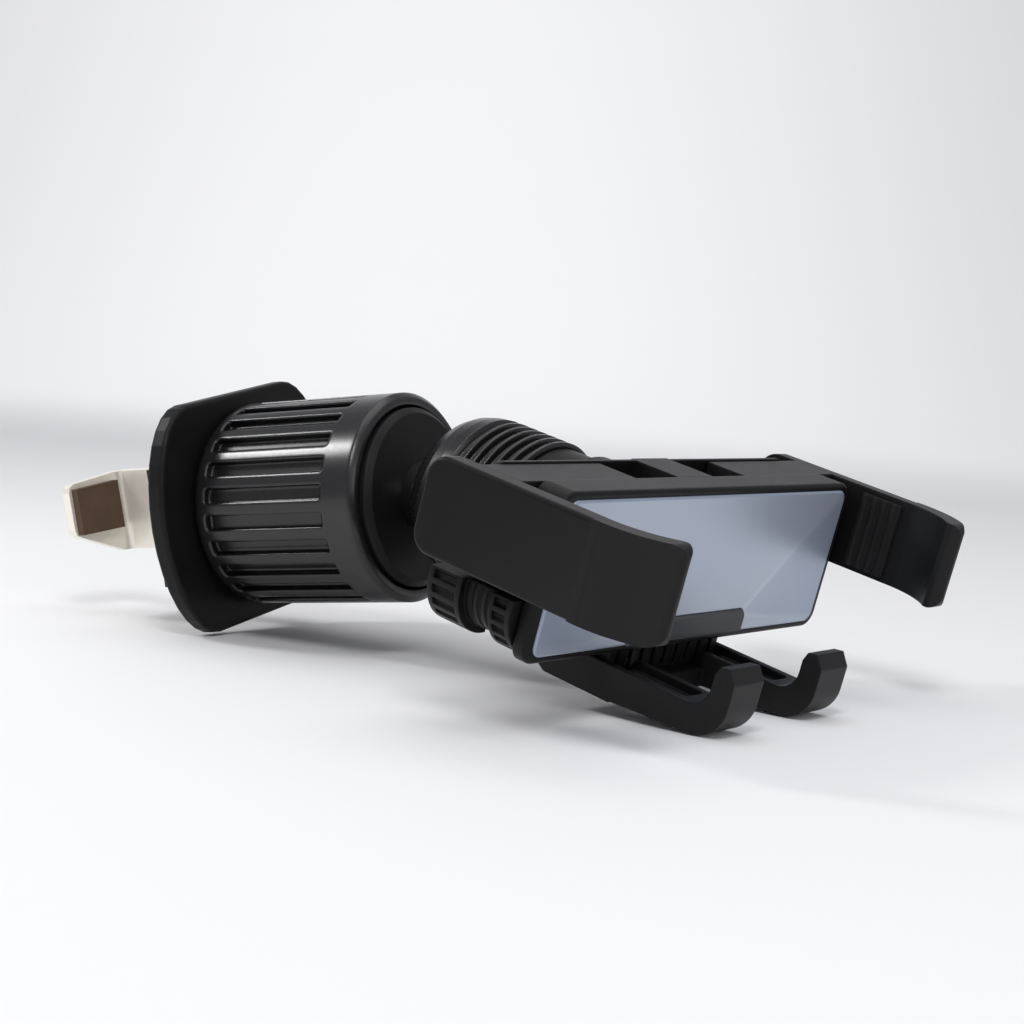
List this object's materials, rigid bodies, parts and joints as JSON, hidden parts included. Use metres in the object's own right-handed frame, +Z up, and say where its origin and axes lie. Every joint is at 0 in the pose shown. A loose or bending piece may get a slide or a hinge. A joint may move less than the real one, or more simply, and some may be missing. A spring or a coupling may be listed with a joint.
{
  "type": "car phone mount",
  "caption": "Vent-clip phone mount: a ribbed knob draws a padded hook to a wing plate, and a locking ball joint carries a wide cradle with sliding arms and foot.",
  "frame": {"origin": "the centre of the bounding box's footprint, on the floor", "axes": "+X the way the face plate looks, along the clamp towards the phone; +Y across the cradle to its right; +Z up; the mount lies on its foot and on the wing's lower edge"},
  "size_m": [0.1297, 0.0822, 0.0392],
  "materials": {
    "black_plastic": "fine grain",
    "knob_plastic": "satin",
    "plate_aluminium": "satin anodised, blue grey",
    "grey_plastic": "satin",
    "rubber": "matte",
    "hook_steel": "polished",
    "brown_rubber": "matte",
    "plain_steel": "plain",
    "seat_nylon": "matte"
  },
  "bodies": {
    "clamp_base": {"wing_plate": "black_plastic", "wing_pad_near": "rubber", "wing_pad_far": "rubber", "hub_sleeve": "black_plastic", "front_cap": "black_plastic", "ball_stud": "plain_steel", "stud_nut": "plain_steel"},
    "knob": {"ribbed_knob": "knob_plastic", "knob_thread_ring": "seat_nylon"},
    "hook": {"hook_strap": "hook_steel", "hook_pad": "brown_rubber", "hook_carriage": "seat_nylon", "hook_rivets": "plain_steel"},
    "seat_inner": {"ball_seat_inner": "seat_nylon"},
    "seat_outer": {"ball_seat_outer": "seat_nylon"},
    "cradle": {"socket_housing": "black_plastic", "rear_shell": "black_plastic", "front_shell": "black_plastic", "face_plate": "plate_aluminium", "foot_guide_tab": "grey_plastic", "shell_screws": "plain_steel", "pinion_axle": "plain_steel"},
    "nut": {"lock_nut": "knob_plastic"},
    "pinion": {"sync_pinion": "seat_nylon"},
    "arm_left": {"left_slider": "black_plastic", "left_arm": "black_plastic", "left_arm_pad": "rubber"},
    "arm_right": {"right_slider": "black_plastic", "right_arm": "black_plastic", "right_arm_pad": "rubber"},
    "release_left": {"left_button": "black_plastic"},
    "release_right": {"right_button": "black_plastic"},
    "foot": {"foot_tray": "black_plastic", "foot_tongue": "black_plastic", "foot_screws": "plain_steel", "foot_pad_near": "rubber", "foot_pad_far": "rubber"}
  },
  "joints": [
    {"name": "knob_turn", "type": "hinge", "parent": "clamp_base", "child": "knob", "pos_m": [-0.02336, -0.0029, 0.02154], "axis": [0.9859, 0.1036, 0.1314], "range_deg": [0, 989]},
    {"name": "hook_slide", "type": "slide", "parent": "clamp_base", "child": "hook", "axis": [0.9859, 0.1036, 0.1314], "range_m": [0, 0.011]},
    {"name": "ball_pitch", "type": "hinge", "parent": "clamp_base", "child": "seat_inner", "pos_m": [0.00424, 0, 0.02522], "axis": [0, 1, 0], "range_deg": [-45, 4]},
    {"name": "ball_yaw", "type": "hinge", "parent": "seat_inner", "child": "seat_outer", "pos_m": [0.00424, 0, 0.02522], "axis": [0.2241, 0, 0.9746], "range_deg": [-10, 20]},
    {"name": "ball_spin", "type": "hinge", "parent": "seat_outer", "child": "cradle", "pos_m": [0.00424, 0, 0.02522], "axis": [0.9746, 0, -0.2241], "continuous": true},
    {"name": "nut_turn", "type": "hinge", "parent": "cradle", "child": "nut", "pos_m": [0.01204, 0, 0.02342], "axis": [0.9746, 0, -0.2241], "range_deg": [-180, 0]},
    {"name": "left_arm_slide", "type": "slide", "parent": "cradle", "child": "arm_left", "axis": [0, -1, 0], "range_m": [0, 0.0085]},
    {"name": "right_arm_slide", "type": "slide", "parent": "cradle", "child": "arm_right", "axis": [0, 1, 0], "range_m": [0, 0.0085]},
    {"name": "pinion_turn", "type": "hinge", "parent": "cradle", "child": "pinion", "pos_m": [0.03707, 0, 0.02116], "axis": [0.9746, 0, -0.2241], "range_deg": [0, 122]},
    {"name": "foot_slide", "type": "slide", "parent": "cradle", "child": "foot", "axis": [-0.2241, 0, -0.9746], "range_m": [0, 0.01]},
    {"name": "left_release", "type": "slide", "parent": "cradle", "child": "release_left", "axis": [0, 1, 0], "range_m": [0, 0.0018], "stiffness_N_per_m": 700, "springref_m": -0.001},
    {"name": "right_release", "type": "slide", "parent": "cradle", "child": "release_right", "axis": [0, -1, 0], "range_m": [0, 0.0018], "stiffness_N_per_m": 700, "springref_m": -0.001}
  ],
  "couplings": [
    {"joint": "hook_slide", "follows": "knob_turn", "m_per_rad": 0.00063662},
    {"joint": "right_arm_slide", "follows": "left_arm_slide", "ratio": 1},
    {"joint": "pinion_turn", "follows": "left_arm_slide", "rad_per_m": 250}
  ]
}
